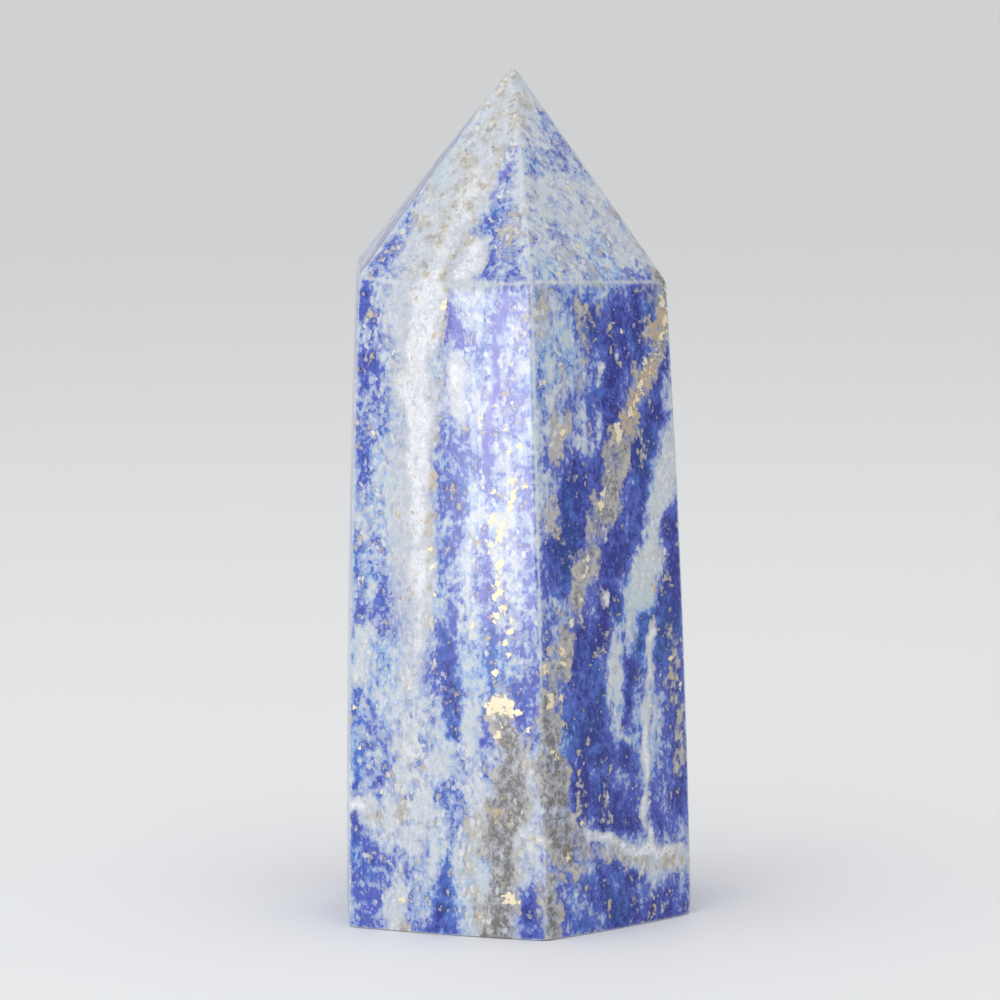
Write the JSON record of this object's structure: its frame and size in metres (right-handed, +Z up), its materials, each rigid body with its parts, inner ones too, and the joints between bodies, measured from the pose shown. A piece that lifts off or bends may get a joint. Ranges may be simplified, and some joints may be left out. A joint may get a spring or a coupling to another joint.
{
  "type": "polished lapis lazuli tower",
  "caption": "Free-standing hexagonal stone point: tapering sides, flat base and a faceted tip, cut and polished from streaky blue lapis lazuli with pale calcite and pyrite.",
  "frame": {"origin": "centre of the outline, at the flat base that the stone stands on", "axes": "+Z up along the tower to its tip, -Y out of the broad front side"},
  "size_m": [0.0402, 0.0362, 0.09],
  "materials": {
    "polished_lapis": "polished lapis lazuli, deep blue with white calcite streaks, grey matrix and gold pyrite specks"
  },
  "bodies": {
    "root": {"lapis_tower": "polished_lapis"}
  },
  "joints": []
}
